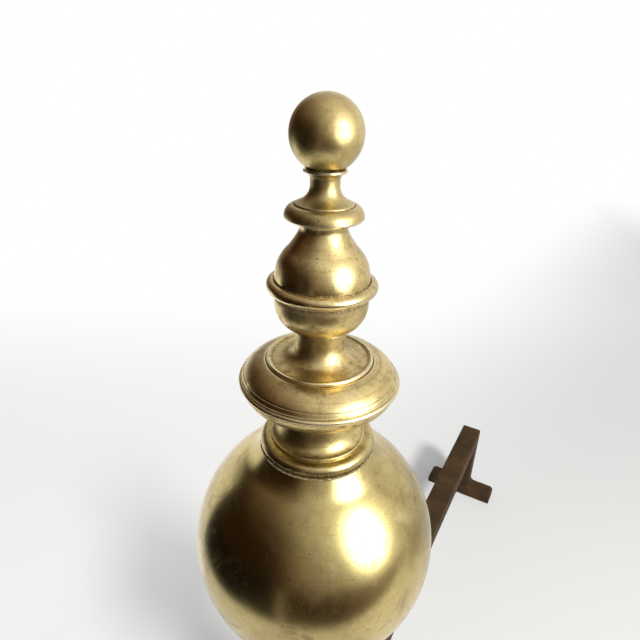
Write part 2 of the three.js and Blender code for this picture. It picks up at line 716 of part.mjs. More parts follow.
// The cross foot seen from the front: rounded ends, and a hollow swell up to the leg's sides.
function rearFootGeometry() {
  const half = rearFootHalfLength;
  const neck = barWidth / 2;
  const top = rearFootHeight + rearFootFillet;
  const front = new THREE.Shape();
  front.moveTo(-half, 0);
  front.lineTo(half, 0);
  front.lineTo(half, rearFootHeight - rearFootRound);
  front.absarc(half - rearFootRound, rearFootHeight - rearFootRound, rearFootRound, 0, quarter);
  front.lineTo(neck + rearFootFillet, rearFootHeight);
  front.absarc(neck + rearFootFillet, top, rearFootFillet, -quarter, -Math.PI, true);
  front.lineTo(-neck, top);
  front.absarc(-neck - rearFootFillet, top, rearFootFillet, 0, -quarter, true);
  front.lineTo(-half + rearFootRound, rearFootHeight);
  front.absarc(-half + rearFootRound, rearFootHeight - rearFootRound, rearFootRound, quarter, Math.PI);
  front.closePath();
  const foot = new THREE.ExtrudeGeometry(front, { depth: rearFootDepth, bevelEnabled: false, curveSegments: 6 });
  foot.translate(0, 0, -rearFootDepth / 2).rotateX(quarter);
  const socket = post(rearTenonRadius + fitGap, -1, top + 1);
  return toGeometry(toSolid(foot).subtract(toSolid(socket)));
}

function tieRodGeometry(length, threadLength) {
  const chamfer = 0.8;
  const outline = new THREE.Path();
  outline.moveTo(0, 0);
  outline.lineTo(rodRadius - chamfer, 0);
  outline.lineTo(rodRadius, chamfer);
  outline.lineTo(rodRadius, length - threadLength);
  outline.lineTo(threadRadius, length - threadLength);
  outline.lineTo(threadRadius, length - chamfer);
  outline.lineTo(threadRadius - chamfer, length);
  outline.lineTo(0, length);
  return turned(outline, 16);
}

function nutGeometry() {
  const cornerRadius = nutAcrossFlats / Math.sqrt(3);
  return drilled(post(cornerRadius, 0, nutThickness, 6), rodRadius + fitGap, 0, nutThickness);
}

function washerGeometry() {
  return drilled(post(washerRadius, 0, washerThickness, 20), boreRadius, 0, washerThickness);
}

// ---- Assembly -----------------------------------------------------------------------------------

function piece(name, geometry, material, level, y = 0, x = 0) {
  const mesh = new THREE.Mesh(geometry, material);
  mesh.name = name;
  mesh.position.set(x, y, level);
  return mesh;
}

const rodBottom = barBottom - washerThickness - nutThickness - rodTail;
const rodTop = finialLevel + finialSocketDepth - 1;
const threadStart = finialLevel - 1;

// Everything that is threaded on the tie rod, about the column's axis.
const column = new THREE.Group();
column.add(
  piece("finial", finialGeometry(), turnedBrass(), finialLevel),
  piece("vase_upper", vaseUpperGeometry(), turnedBrass(), vaseUpperLevel),
  piece("vase_lower", vaseLowerGeometry(), turnedBrass(), vaseLowerLevel),
  piece("disc_upper", discUpperGeometry(), turnedBrass(), discUpperLevel),
  piece("disc_lower", discLowerGeometry(), turnedBrass(), discLowerLevel),
  piece("collar_upper", collarGeometry(), turnedBrass(), collarUpperLevel),
  piece("ball_upper", ballHalfGeometry(), turnedBrass(), ballLevel),
  piece("stem_neck", stemNeckGeometry(), turnedBrass(), stemNeckLevel),
  piece("stem_baluster", balusterGeometry(), turnedBrass(), balusterLevel),
  piece("stem_base", stemBaseGeometry(), turnedBrass(), stemBaseLevel),
  piece("plinth_cap", plinthCapGeometry(), castBrass(), plinthCapLevel),
  piece("plinth_die", plinthDieGeometry(), castBrass(), plinthDieLevel),
  piece("plinth_base", plinthBaseGeometry(), castBrass(), plinthBaseLevel),
  piece("tie_rod", tieRodGeometry(rodTop - rodBottom, rodTop - threadStart), rodIron(), rodBottom),
  piece("rod_washer", washerGeometry(), rodIron(), barBottom - washerThickness),
  piece("rod_nut", nutGeometry(), rodIron(), barBottom - washerThickness - nutThickness),
);

const ballLower = piece("ball_lower", ballHalfGeometry(), turnedBrass(), ballLevel);
ballLower.rotation.x = Math.PI;
const collarLower = piece("collar_lower", collarGeometry(), turnedBrass(), ballLevel - ballSeat);
collarLower.rotation.x = Math.PI;
column.add(ballLower, collarLower);

const legRight = piece("leg_right", legGeometry(), castBrass(), 0);
const legLeft = piece("leg_left", legGeometry(), castBrass(), 0);
legLeft.rotation.z = Math.PI;
const pinSpread = blockHalf - legTenonLength / 2;
column.add(
  legRight,
  legLeft,
  piece("leg_pin_right", legPinGeometry(), castBrass(), legRootLevel, 0, pinSpread),
  piece("leg_pin_left", legPinGeometry(), castBrass(), legRootLevel, 0, -pinSpread),
);

const iron = new THREE.Group();
iron.add(
  piece("billet_bar", billetBarGeometry(), wroughtIron(), barTop),
  piece("rear_foot", rearFootGeometry(), wroughtIron(), 0, barReach - barHeight / 2),
);

// The footprint runs from the ball's front to the rear foot's back.
const footprintFront = -ballRadius;
const footprintBack = barReach - barHeight / 2 + rearFootDepth / 2;
const andiron = new THREE.Group();
andiron.position.y = -(footprintFront + footprintBack) / 2;
andiron.add(column, iron);

export default andiron;
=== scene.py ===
"""Dresses a ball-top andiron: a turned brass column, arched front legs and an iron billet bar.

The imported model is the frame: each piece here is made again with finer forms at the place and size of
its node, and gets a worn brass or iron finish. Lengths are metres, and turnings are drawn in millimetres.
"""

import math
from functools import partial

import bmesh
import bpy
from bpy.props import FloatProperty, FloatVectorProperty, PointerProperty
from mathutils import Matrix, Vector, noise


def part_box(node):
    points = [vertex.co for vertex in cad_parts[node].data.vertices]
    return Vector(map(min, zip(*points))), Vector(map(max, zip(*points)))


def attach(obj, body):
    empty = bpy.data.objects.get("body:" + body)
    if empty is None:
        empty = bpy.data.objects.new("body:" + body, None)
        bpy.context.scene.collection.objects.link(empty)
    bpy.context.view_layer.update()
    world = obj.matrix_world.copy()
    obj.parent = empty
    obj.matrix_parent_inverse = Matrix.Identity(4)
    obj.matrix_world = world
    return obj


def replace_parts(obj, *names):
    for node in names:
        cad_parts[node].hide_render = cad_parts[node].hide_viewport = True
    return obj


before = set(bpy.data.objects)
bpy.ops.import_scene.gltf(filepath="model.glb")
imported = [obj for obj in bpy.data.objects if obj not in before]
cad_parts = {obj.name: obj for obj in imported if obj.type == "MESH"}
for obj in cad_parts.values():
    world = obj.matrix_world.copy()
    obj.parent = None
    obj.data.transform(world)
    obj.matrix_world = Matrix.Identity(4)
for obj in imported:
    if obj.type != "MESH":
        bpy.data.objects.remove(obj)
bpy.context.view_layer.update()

bl_info = {
    "name": "Ball-top andiron",
    "version": (1, 0, 0),
    "blender": (4, 5, 0),
    "location": "3D View > Sidebar > Andiron",
    "description": "Makes and finishes a brass andiron with its iron billet bar",
    "category": "Object",
}

# A millimetre and a micron in metres, and how near to each other vertices are welded.
MM = 0.001
MICRON = 1e-6
WELD = 1e-6

# The andiron's one body, and the radius in millimetres of the bore through its column.
BODY = "root"
BORE = 4.4


# ---- What the frame says ------------------------------------------------------------------------


def low(node):
    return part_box(node)[0]


def high(node):
    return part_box(node)[1]


def middle(node):
    return (low(node) + high(node)) / 2


def half_width(node):
    return (high(node).x - low(node).x) / 2


# The column's axis on the floor, and the middle of the ball.
COLUMN = Vector((0, middle("ball_upper").y, 0))
BALL = Vector((0, COLUMN.y, low("ball_upper").z))


# ---- Settings -----------------------------------------------------------------------------------


class AndironSizes(bpy.types.PropertyGroup):
    """Sizes of the fine forms that the frame leaves out"""

    edge: FloatProperty(
        name="Turned edge",
        description="Radius worn on the sharp edges of the turned brass",
        default=0.22 * MM,
        unit="LENGTH",
    )
    casting_edge: FloatProperty(
        name="Casting edge",
        description="Radius filed on the edges of the plinth",
        default=0.6 * MM,
        unit="LENGTH",
    )
    bar_edge: FloatProperty(
        name="Bar edge",
        description="Radius on the long edges of the forged bar",
        default=1.6 * MM,
        unit="LENGTH",
    )
    solder: FloatProperty(
        name="Solder ridge",
        description="Thickness of the ragged solder between the ball and its collar",
        default=0.3 * MM,
        unit="LENGTH",
    )
    leg_voxel: FloatProperty(
        name="Leg fineness",
        description="Size of the facets of the cast legs",
        default=0.7 * MM,
        unit="LENGTH",
    )


class AndironFinish(bpy.types.PropertyGroup):
    """Colours of the brass and the iron"""

    brass: FloatVectorProperty(
        name="Brass",
        description="Worn, rubbed brass",
        subtype="COLOR",
        default=(0.73, 0.565, 0.25),
    )
    olive: FloatVectorProperty(
        name="Olive tarnish",
        description="Brass under a thin greenish tarnish",
        subtype="COLOR",
        default=(0.57, 0.462, 0.19),
    )
    patina: FloatVectorProperty(
        name="Patina",
        description="Brown patina in grooves and pits",
        subtype="COLOR",
        default=(0.11, 0.05, 0.012),
    )
    solder: FloatVectorProperty(
        name="Solder",
        description="Pale brazing metal",
        subtype="COLOR",
        default=(0.62, 0.54, 0.34),
    )
    iron: FloatVectorProperty(
        name="Iron",
        description="Fire-scaled wrought iron",
        subtype="COLOR",
        default=(0.052, 0.03, 0.013),
    )
    rust: FloatVectorProperty(
        name="Rust",
        description="Dry brown rust on the iron",
        subtype="COLOR",
        default=(0.09, 0.046, 0.018),
    )


class AndironStudio(bpy.types.PropertyGroup):
    """The camera, the lamps and the pale floor"""

    lens: FloatProperty(
        name="Lens",
        description="Focal length on a 36 mm wide sensor",
        default=28.96,
        unit="CAMERA",
    )
    azimuth: FloatProperty(
        name="Azimuth",
        description="Where the camera stands round the column, from its front towards the right",
        default=math.radians(28.5),
        unit="ROTATION",
    )
    pitch: FloatProperty(
        name="Pitch",
        description="How far the camera looks down",
        default=math.radians(26.73),
        unit="ROTATION",
    )
    yaw: FloatProperty(
        name="Yaw",
        description="How far the camera looks past the column, to the left",
        default=math.radians(0.12),
        unit="ROTATION",
    )
    roll: FloatProperty(
        name="Roll",
        description="Tilt of the camera about its line of sight",
        default=math.radians(1.73),
        unit="ROTATION",
    )
    distance: FloatProperty(
        name="Distance",
        description="From the column's axis to the camera, along the floor",
        default=162.8 * MM,
        unit="LENGTH",
    )
    height: FloatProperty(
        name="Height",
        description="From the middle of the ball up to the camera",
        default=185.7 * MM,
        unit="LENGTH",
    )
    key_power: FloatProperty(
        name="Key lamp",
        description="Power of the near lamp that the brass mirrors",
        default=1.75,
        unit="POWER",
    )
    top_power: FloatProperty(
        name="Top lamp",
        description="Power of the lamp overhead that lights the floor and the iron",
        default=43.0,
        unit="POWER",
    )
    floor: FloatVectorProperty(
        name="Floor",
        description="Colour of the pale floor",
        subtype="COLOR",
        default=(0.79, 0.79, 0.775),
    )


# ---- Finishes -----------------------------------------------------------------------------------


class Value:
    """A socket that takes part in Python expressions."""

    def __init__(self, finish, socket):
        self.finish = finish
        self.socket = socket

    def _with(self, operation, *others):
        inputs = dict(enumerate(others))
        return self.finish.node("ShaderNodeMath", {"operation": operation}, inputs)

    def __add__(self, other):
        return self._with("ADD", self, other)

    def __sub__(self, other):
        return self._with("SUBTRACT", self, other)

    def __rsub__(self, other):
        return self._with("SUBTRACT", other, self)

    def __mul__(self, other):
        return self._with("MULTIPLY", self, other)

    def __truediv__(self, other):
        return self._with("DIVIDE", self, other)

    def __pow__(self, other):
        return self._with("POWER", self, other)

    def __abs__(self):
        return self._with("ABSOLUTE", self)

    def most(self, other):
        return self._with("MAXIMUM", self, other)

    __radd__ = __add__
    __rmul__ = __mul__


class Finish:
    """A material, or the world, whose nodes are added one by one."""

    def __init__(self, owner):
        owner.use_nodes = True
        self.owner = owner
        self.tree = owner.node_tree
        self.tree.nodes.clear()

    def node(self, kind, settings=None, inputs=None, output=0):
        """Adds a node: its settings first, then the values or links of its sockets."""
        made = self.tree.nodes.new(kind)
        for name, setting in (settings or {}).items():
            setattr(made, name, setting)
        for name, value in (inputs or {}).items():
            if isinstance(value, Value):
                self.tree.links.new(value.socket, made.inputs[name])
            else:
                made.inputs[name].default_value = value
        return Value(self, made.outputs[output]) if made.outputs else made

    def place(self):
        return self.node("ShaderNodeTexCoord", output="Object")

    def parts(self, vector):
        first = self.node("ShaderNodeSeparateXYZ", inputs={0: vector})
        return [Value(self, socket) for socket in first.socket.node.outputs]

    def vector(self, x, y, z):
        return self.node("ShaderNodeCombineXYZ", inputs={"X": x, "Y": y, "Z": z})

    def scaled(self, vector, x, y, z):
        settings = {"operation": "MULTIPLY"}
        return self.node("ShaderNodeVectorMath", settings, {0: vector, 1: (x, y, z)})

    def cloud(self, vector, scale, detail, roughness=0.5, distortion=0.0):
        inputs = {
            "Vector": vector,
            "Scale": scale,
            "Detail": detail,
            "Roughness": roughness,
            "Distortion": distortion,
        }
        return self.node("ShaderNodeTexNoise", inputs=inputs)

    def ramp(self, value, start, end):
        """Goes smoothly from 0 to 1 while the value goes from start to end."""
        inputs = {"Value": value, "From Min": start, "From Max": end}
        return self.node("ShaderNodeMapRange", {"interpolation_type": "SMOOTHSTEP"}, inputs)

    def mix(self, factor, first, second):
        settings = {"data_type": "RGBA", "clamp_factor": True}
        colours = {0: factor, 6: first, 7: second}
        return self.node("ShaderNodeMix", settings, colours, output=2)

    def attribute(self, name):
        return self.node("ShaderNodeAttribute", {"attribute_name": name}, output="Fac")

    def bump(self, height):
        return self.node("ShaderNodeBump", inputs={"Strength": 1.0, "Distance": 1.0, "Height": height})

    def ray(self, kind):
        return self.node("ShaderNodeLightPath", output=f"Is {kind} Ray")

    def glow(self, strength):
        return self.node("ShaderNodeEmission", inputs={"Color": WHITE, "Strength": strength})

    def surface(self, inputs):
        return self.ended(self.node("ShaderNodeBsdfPrincipled", inputs=inputs))

    def laid_over(self, under, over, cover):
        """Ends the material with one shader over another, as far as the cover says."""
        return self.ended(self.node("ShaderNodeMixShader", inputs={0: cover, 1: under, 2: over}))

    def ended(self, shader):
        self.node("ShaderNodeOutputMaterial", inputs={"Surface": shader})
        return self.owner


# Tints that stay as they are. The colours that a user would change are among the settings.
WHITE = (1.0, 1.0, 1.0, 1.0)
RUBBED_CREST = (0.9, 0.8, 0.55, 1.0)
BARE_FLECK = (0.9, 0.76, 0.42, 1.0)
BARE_SCRATCH = (0.8, 0.7, 0.45, 1.0)
DRIED_POLISH = (0.78, 0.7, 0.5, 1.0)
FIRE_SCALE = (0.03, 0.024, 0.02, 1.0)
RUST_SPECK = (0.22, 0.13, 0.075, 1.0)
GREY_IRON = (0.2, 0.17, 0.14, 1.0)
BROWN_FILM = (0.09, 0.06, 0.04, 1.0)
SOLDER_POCK = (0.3, 0.22, 0.1, 1.0)
WARM_DIMNESS = (1.0, 0.42, 0.08, 1.0)


def opaque(colour):
    return (*colour, 1.0)


def lathe_rings(brass, place):
    """Rings that the turning tool left: fine across the column and long around it."""
    fine, long = 1500.0, 22.0
    x, y, z = brass.parts(place)
    across = y - COLUMN.y
    radius = (x * x + across * across) ** 0.5
    ring = brass.vector(radius * fine, z * fine, x * long)
    inputs = {"Vector": ring, "W": across * long, "Scale": 1.0, "Detail": 2.0}
    return brass.node("ShaderNodeTexNoise", {"noise_dimensions": "4D"}, inputs)


def casting_pits(brass, place):
    """Small round pits, in a few patches."""
    dots = brass.node("ShaderNodeTexVoronoi", inputs={"Vector": place, "Scale": 330.0})
    patches = brass.ramp(brass.cloud(place, scale=60.0, detail=2.0), 0.5, 0.62)
    return brass.ramp(dots, 0.16, 0.05) * patches


def hairlines(brass, place):
    """Scratches where a drawn-out cloud crosses its middle level, in a few patches."""
    drawn = brass.scaled(place, 1.0, 1.6, 0.5)
    cloud = brass.cloud(drawn, scale=130.0, detail=3.0, roughness=0.55, distortion=0.4)
    patches = brass.ramp(brass.cloud(place, scale=95.0, detail=2.0), 0.56, 0.66)
    return brass.ramp(abs(cloud - 0.5), 0.006, 0.001) * patches


def brass_finish(name, rings, dull, film, wear):
    """Worn brass: rubbed bright on crests, tarnished on broad faces, brown in grooves and pits.

    Rings is how deep the lathe's rings are, dull the roughness to start from, film how much brown
    lies all over, and wear how strong the mottling is.
    """
    colours = bpy.context.scene.andiron_finish
    brass = Finish(bpy.data.materials.new(name))
    place = brass.place()
    tall_place = brass.scaled(place, 1.0, 1.0, 0.3)
    bend = brass.attribute("bend")
    crest = brass.ramp(bend, 0.15, 0.9)
    groove = brass.ramp(bend, -0.12, -0.8)
    broad = brass.cloud(place, scale=12.0, detail=2.0, distortion=0.6)
    tarnish = brass.cloud(place, scale=34.0, detail=4.0, roughness=0.6)
    smudge = brass.cloud(place, scale=75.0, detail=5.0, roughness=0.65, distortion=0.8)
    smudge = brass.ramp(smudge, 0.54, 0.7)
    streak = brass.cloud(tall_place, scale=70.0, detail=4.0, roughness=0.6, distortion=0.5)
    streak = brass.ramp(streak, 0.55, 0.72)
    mottle = brass.cloud(place, scale=300.0, detail=5.0, roughness=0.72)
    grain = brass.cloud(place, scale=1300.0, detail=3.0, roughness=0.7)
    crumbs = brass.ramp(brass.cloud(place, scale=1500.0, detail=3.0, roughness=0.65), 0.52, 0.62)
    residue = brass.ramp(bend, -0.35, -0.9) * crumbs
    lines = lathe_rings(brass, place)
    pits = casting_pits(brass, place)
    scratch = hairlines(brass, place)

    brown = opaque(colours.patina)
    colour = brass.mix(brass.ramp(broad, 0.38, 0.66), opaque(colours.brass), opaque(colours.olive))
    for cover, tint in (
        (film, brown),
        (brass.ramp(tarnish, 0.42, 0.75) * 0.45, brown),
        (brass.ramp(mottle, 0.5, 0.68) * wear, brown),
        (brass.ramp(mottle, 0.46, 0.32) * wear, BARE_FLECK),
        (smudge * 0.3, brown),
        (brass.ramp(lines, 0.52, 0.75) * (rings * 0.16), brown),
        (brass.ramp(grain, 0.5, 0.8) * 0.35, brown),
        (crest * 0.6, RUBBED_CREST),
        ((groove * 0.75).most(pits * 0.8), brown),
        ((scratch * 0.45).most(streak * 0.2), BARE_SCRATCH),
        (residue * 0.8, DRIED_POLISH),
    ):
        colour = brass.mix(cover, colour, tint)

    rough = dull + tarnish * 0.14 + smudge * 0.1 + grain * 0.06 + streak * 0.08
    rough = rough + (mottle - 0.5) * (wear * 0.8) - crest * 0.08 + groove * 0.3
    height = broad * (60 * MICRON) + tarnish * (14 * MICRON) + grain * (2.2 * MICRON)
    height = height + mottle * (wear * 12 * MICRON) + lines * (rings * MICRON)
    height = height - pits * (40 * MICRON) - scratch * (6 * MICRON)
    return brass.surface(
        {
            "Base Color": colour,
            "Metallic": 1.0,
            "Roughness": rough,
            "Normal": brass.bump(height),
        }
    )


def iron_finish(name):
    """Forged iron: dark fire scale, dry brown rust and a hammered face."""
    colours = bpy.context.scene.andiron_finish
    iron = Finish(bpy.data.materials.new(name))
    place = iron.place()
    scale = iron.cloud(place, scale=120.0, detail=5.0, roughness=0.65)
    patch = iron.cloud(place, scale=28.0, detail=3.0, roughness=0.6, distortion=0.5)
    hammer = iron.cloud(place, scale=55.0, detail=2.0, roughness=0.4)
    speck = iron.ramp(iron.cloud(place, scale=700.0, detail=4.0, roughness=0.7), 0.55, 0.75)
    colour = iron.mix(iron.ramp(patch, 0.4, 0.65), opaque(colours.iron), opaque(colours.rust))
    colour = iron.mix(iron.ramp(scale, 0.5, 0.75) * 0.7, colour, FIRE_SCALE)
    colour = iron.mix(speck * 0.35, colour, RUST_SPECK)
    height = scale * (120 * MICRON) + hammer * (400 * MICRON) + speck * (30 * MICRON)
    return iron.surface(
        {
            "Base Color": colour,
            "Metallic": 0.35,
            "Specular IOR Level": 0.25,
            "Roughness": 0.62 + scale * 0.25,
            "Normal": iron.bump(height),
        }
    )


def rod_finish(name):
    """The tie rod, its washer and its nut: dull grey-brown iron."""
    iron = Finish(bpy.data.materials.new(name))
    film = iron.cloud(iron.place(), scale=140.0, detail=4.0, roughness=0.6)
    return iron.surface(
        {
            "Base Color": iron.mix(iron.ramp(film, 0.4, 0.7), GREY_IRON, BROWN_FILM),
            "Metallic": 0.7,
            "Roughness": 0.42 + film * 0.3,
            "Normal": iron.bump(film * (60 * MICRON)),
        }
    )


def solder_finish(name):
    """Pale brazing metal, rough and pocked with brown."""
    colours = bpy.context.scene.andiron_finish
    solder = Finish(bpy.data.materials.new(name))
    cloud = solder.cloud(solder.place(), scale=850.0, detail=4.0, roughness=0.7)
    sound = solder.ramp(cloud, 0.44, 0.6)
    return solder.surface(
        {
            "Base Color": solder.mix(sound, SOLDER_POCK, opaque(colours.solder)),
            "Metallic": 0.85,
            "Roughness": 0.62 - sound * 0.2,
            "Normal": solder.bump(sound * (120 * MICRON)),
        }
    )


# Each material by its name, with the slot that it stands for. No name is one of the frame's own.
MATERIALS = {
    "worn_brass": ("turned_brass", partial(brass_finish, rings=1.8, dull=0.18, film=0.0, wear=0.42)),
    "dull_brass": ("turned_brass", partial(brass_finish, rings=1.8, dull=0.26, film=0.0, wear=0.55)),
    "polished_brass": ("turned_brass", partial(brass_finish, rings=0.8, dull=0.14, film=0.08, wear=0.12)),
    "satin_brass": ("turned_brass", partial(brass_finish, rings=1.0, dull=0.26, film=0.16, wear=0.2)),
    "filed_brass": ("cast_brass", partial(brass_finish, rings=0.0, dull=0.2, film=0.1, wear=0.16)),
    "pale_solder": ("turned_brass", solder_finish),
    "scaled_iron": ("wrought_iron", iron_finish),
    "dull_iron": ("rod_iron", rod_finish),
}


def material(name):
    return bpy.data.materials.get(name) or MATERIALS[name][1](name)


# ---- Forms --------------------------------------------------------------------------------------


class Outline:
    """An outline in two directions, across and up. A turning has its metal on the left of its outline."""

    def __init__(self, across, up):
        self.points = [Vector((across, up))]

    def line(self, *points):
        self.points += [Vector(point) for point in points]
        return self

    def curve(self, control, end, steps=12):
        start, bend, stop = self.points[-1], Vector(control), Vector(end)
        for step in range(1, steps + 1):
            self.points.append(bezier(start, bend, stop, step / steps))
        return self

    def arc(self, centre, size, start, stop, steps=12):
        """Part of an ellipse between two angles in degrees, 0 outwards and 90 up."""
        for step in range(steps + 1):
            angle = math.radians(start + (stop - start) * step / steps)
            offset = Vector((size[0] * math.cos(angle), size[1] * math.sin(angle)))
            self.points.append(Vector(centre) + offset)
        return self

    def eased(self, radius, sharp=math.radians(24)):
        """Rounds each corner, and keeps the flats beside it flat with a guard point."""
        # The least step between points, and shares of the flats beside a corner and of its rounding.
        nearest, longest, guard = 1e-4, 0.4, 0.2
        points = [self.points[0]]
        for point in self.points[1:]:
            if (point - points[-1]).length > nearest:
                points.append(point)
        made = [points[0]]
        for before, corner, after in zip(points, points[1:], points[2:]):
            back, on = before - corner, after - corner
            turn = math.pi - back.angle(on)
            if turn < sharp:
                made.append(corner)
                continue
            reach = min(radius * math.tan(turn / 2), back.length * longest, on.length * longest)
            start = corner + back.normalized() * reach
            stop = corner + on.normalized() * reach
            made.append(start + back.normalized() * reach * guard)
            for t in (0, 0.25, 0.5, 0.75, 1):
                made.append(bezier(start, corner, stop, t))
            made.append(stop + on.normalized() * reach * guard)
        made.append(points[-1])
        return made


def bezier(start, bend, stop, t):
    return start * (1 - t) ** 2 + bend * (2 * t * (1 - t)) + stop * t**2


def bends(points, reach=0.7):
    """How sharply an outline turns within that reach of each point: a crest above 0, a groove below."""
    along = [0.0]
    for before, after in zip(points, points[1:]):
        along.append(along[-1] + (after - before).length)
    turns = [0.0] * len(points)
    for i in range(1, len(points) - 1):
        before, after = points[i] - points[i - 1], points[i + 1] - points[i]
        turns[i] = -before.angle_signed(after, 0.0)
    return [
        sum(turn * max(0.0, 1 - abs(there - here) / reach) for turn, there in zip(turns, along))
        for here in along
    ]


def weld(bm):
    bmesh.ops.remove_doubles(bm, verts=bm.verts[:], dist=WELD)


def face_outwards(bm):
    bmesh.ops.recalc_face_normals(bm, faces=bm.faces[:])


def revolve(bm, points, axis, sides, closed=True, bend=()):
    """Spins an outline in metres about an upright axis. Bend has a value for each point, or none."""
    layer = bm.verts.layers.float.get("bend")
    verts = [bm.verts.new((axis.x + point.x, axis.y, axis.z + point.y)) for point in points]
    for vert, amount in zip(verts, bend):
        vert[layer] = amount
    edges = [bm.edges.new(pair) for pair in zip(verts, verts[1:])]
    if closed:
        edges.append(bm.edges.new((verts[-1], verts[0])))
    bmesh.ops.spin(
        bm,
        geom=verts + edges,
        cent=axis,
        axis=(0, 0, 1),
        angle=math.tau,
        steps=sides,
        use_merge=True,
    )


def round_edges(bm, radius, sharp):
    """Rounds each edge whose two faces meet at more than that angle."""
    edges = [edge for edge in bm.edges if len(edge.link_faces) == 2 and edge.calc_face_angle() > sharp]
    bmesh.ops.bevel(
        bm,
        geom=edges,
        offset=radius,
        offset_type="OFFSET",
        segments=3,
        profile=0.5,
        affect="EDGES",
        clamp_overlap=True,
        material=-1,
    )


def placed(bm, name, surface):
    """Makes an object of a bmesh, at the origin, with its material."""
    mesh = bpy.data.meshes.new(name)
    bm.to_mesh(mesh)
    bm.free()
    mesh.materials.append(surface)
    made = bpy.data.objects.new(name, mesh)
    bpy.context.scene.collection.objects.link(made)
    return made


def finished(bm, name, finish):
    """Makes a smooth piece of the andiron with one of its finishes."""
    for face in bm.faces:
        face.smooth = True
    piece = placed(bm, name, material(finish))
    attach(piece, BODY)
    return piece


def turned(name, nodes, outline, sides=112, bored=True, flip=False, finish="worn_brass"):
    """Turns a piece about its nodes' own axis, fitted to their height and their widest place."""
    points = outline.eased(bpy.context.scene.andiron_sizes.edge / MM)
    floor, roof = low(nodes[0]).z, high(nodes[-1]).z
    wide = max(half_width(node) for node in nodes) / max(point.x for point in points)
    tall = (roof - floor) / max(point.y for point in points)
    start, rise = (roof, -tall) if flip else (floor, tall)
    fitted = [Vector((point.x * wide, start + point.y * rise)) for point in points]
    axis = Vector((middle(nodes[0]).x, middle(nodes[0]).y, 0))
    bm = bmesh.new()
    bm.verts.layers.float.new("bend")
    revolve(bm, fitted, axis, sides, closed=bored, bend=bends(points))
    weld(bm)
    face_outwards(bm)
    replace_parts(finished(bm, name, finish), *nodes)


def eased_copy(name, node, finish, edge, sharp=math.radians(20)):
    """A node's own faceted shape, merged and with its edges rounded."""
    bm = bmesh.new()
    bm.from_mesh(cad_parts[node].data)
    weld(bm)
    bmesh.ops.dissolve_limit(bm, angle_limit=math.radians(1), verts=bm.verts[:], edges=bm.edges[:])
    round_edges(bm, edge, sharp)
    face_outwards(bm)
    piece = finished(bm, name, finish)
    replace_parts(piece, node)
    weighted = piece.modifiers.new("flat_faces", "WEIGHTED_NORMAL")
    weighted.keep_sharp = True


# ---- The column ---------------------------------------------------------------------------------


class ANDIRON_OT_finial(bpy.types.Operator):
    """Turn the small ball, its fillet, neck and skirt"""

    bl_idname = "andiron.finial"
    bl_label = "Finial"

    def execute(self, context):
        skirt = Outline(0, 0).line((12.7, 0), (13.2, 0.6))
        skirt.arc((9.9, 0.6), (3.3, 3.9), 0, 86, 14)
        skirt.line((9.75, 4.5), (9.75, 4.75), (9.6, 5.0))
        neck = skirt.curve((5.2, 6.6), (4.8, 10.2), 14).line((4.8, 12.4))
        neck.curve((4.95, 14.0), (6.7, 14.5), 10).line((7.1, 14.75), (7.1, 15.3), (6.7, 15.55))
        ball = neck.line((5.7, 15.5)).arc((0, 25.79), (11.67, 11.67), -61.9, 90, 56)
        turned("finial_turning", ("finial",), ball, bored=False, finish="satin_brass")
        return {"FINISHED"}


class ANDIRON_OT_vase(bpy.types.Operator):
    """Turn the two halves of the vase, which meet at its waist ring"""

    bl_idname = "andiron.vase"
    bl_label = "Vase"

    def execute(self, context):
        bell = Outline(BORE, 0).line((18.0, 0))
        bell.arc((16.8, 1.8), (2.4, 2.1), -60, 78, 18).line((16.9, 3.95), (16.45, 3.65))
        bell.curve((16.3, 10.5), (12.1, 14.5), 16).curve((9.2, 18.2), (8.0, 21.0), 12)
        bell.curve((7.8, 22.6), (8.5, 23.9), 6).line((8.7, 24.1), (8.7, 24.6), (BORE, 24.6))
        turned("vase_bell", ("vase_upper",), bell)

        bulb = Outline(BORE, 0).line((19.5, 0), (19.5, 1.0), (19.2, 1.4), (18.6, 1.4), (17.6, 0.9))
        bulb.curve((13.6, 1.1), (11.9, 2.4), 10).curve((9.3, 4.4), (9.1, 8.6), 14)
        bulb.line((9.1, 11.9)).curve((9.1, 12.7), (9.8, 12.85), 5)
        bulb.line((10.25, 12.95), (10.25, 13.5), (9.9, 13.7))
        bulb.arc((8.4, 23.0), (8.0, 9.4), -78, 0, 26)
        bulb.line((16.4, 26.6), (16.95, 26.95), (16.95, 27.7), (BORE, 27.7))
        turned("vase_bulb", ("vase_lower",), bulb, finish="dull_brass")
        return {"FINISHED"}


class ANDIRON_OT_disc(bpy.types.Operator):
    """Turn the wide disc: its dished top, and its bead, underside and neck"""

    bl_idname = "andiron.disc"
    bl_label = "Disc"

    def execute(self, context):
        dish = Outline(BORE, 0).line((29.1, 0), (29.1, 0.45), (28.75, 0.5))
        dish.curve((28.45, 1.2), (28.1, 1.75), 4).line((27.85, 1.75), (27.75, 2.1))
        dish.curve((25.2, 5.45), (20.35, 6.68), 22)
        dish.line((19.95, 6.7), (19.75, 6.35), (BORE, 6.35))
        turned("disc_dish", ("disc_upper",), dish, sides=152)

        neck = Outline(BORE, 0).line((18.3, 0), (18.3, 0.8), (17.6, 0.9))
        neck.curve((13.6, 2.2), (13.6, 10.5), 18).curve((13.6, 15.5), (17.0, 16.9), 14)
        neck.line((18.8, 17.0)).arc((19.0, 24.5), (9.8, 7.5), -88, 0, 24)
        neck.line((28.5, 24.75)).arc((28.8, 25.65), (1.1, 1.0), -70, 84, 14)
        neck.line((28.7, 26.8), (BORE, 26.8))
        turned("disc_neck", ("disc_lower",), neck, sides=152, finish="dull_brass")
        return {"FINISHED"}


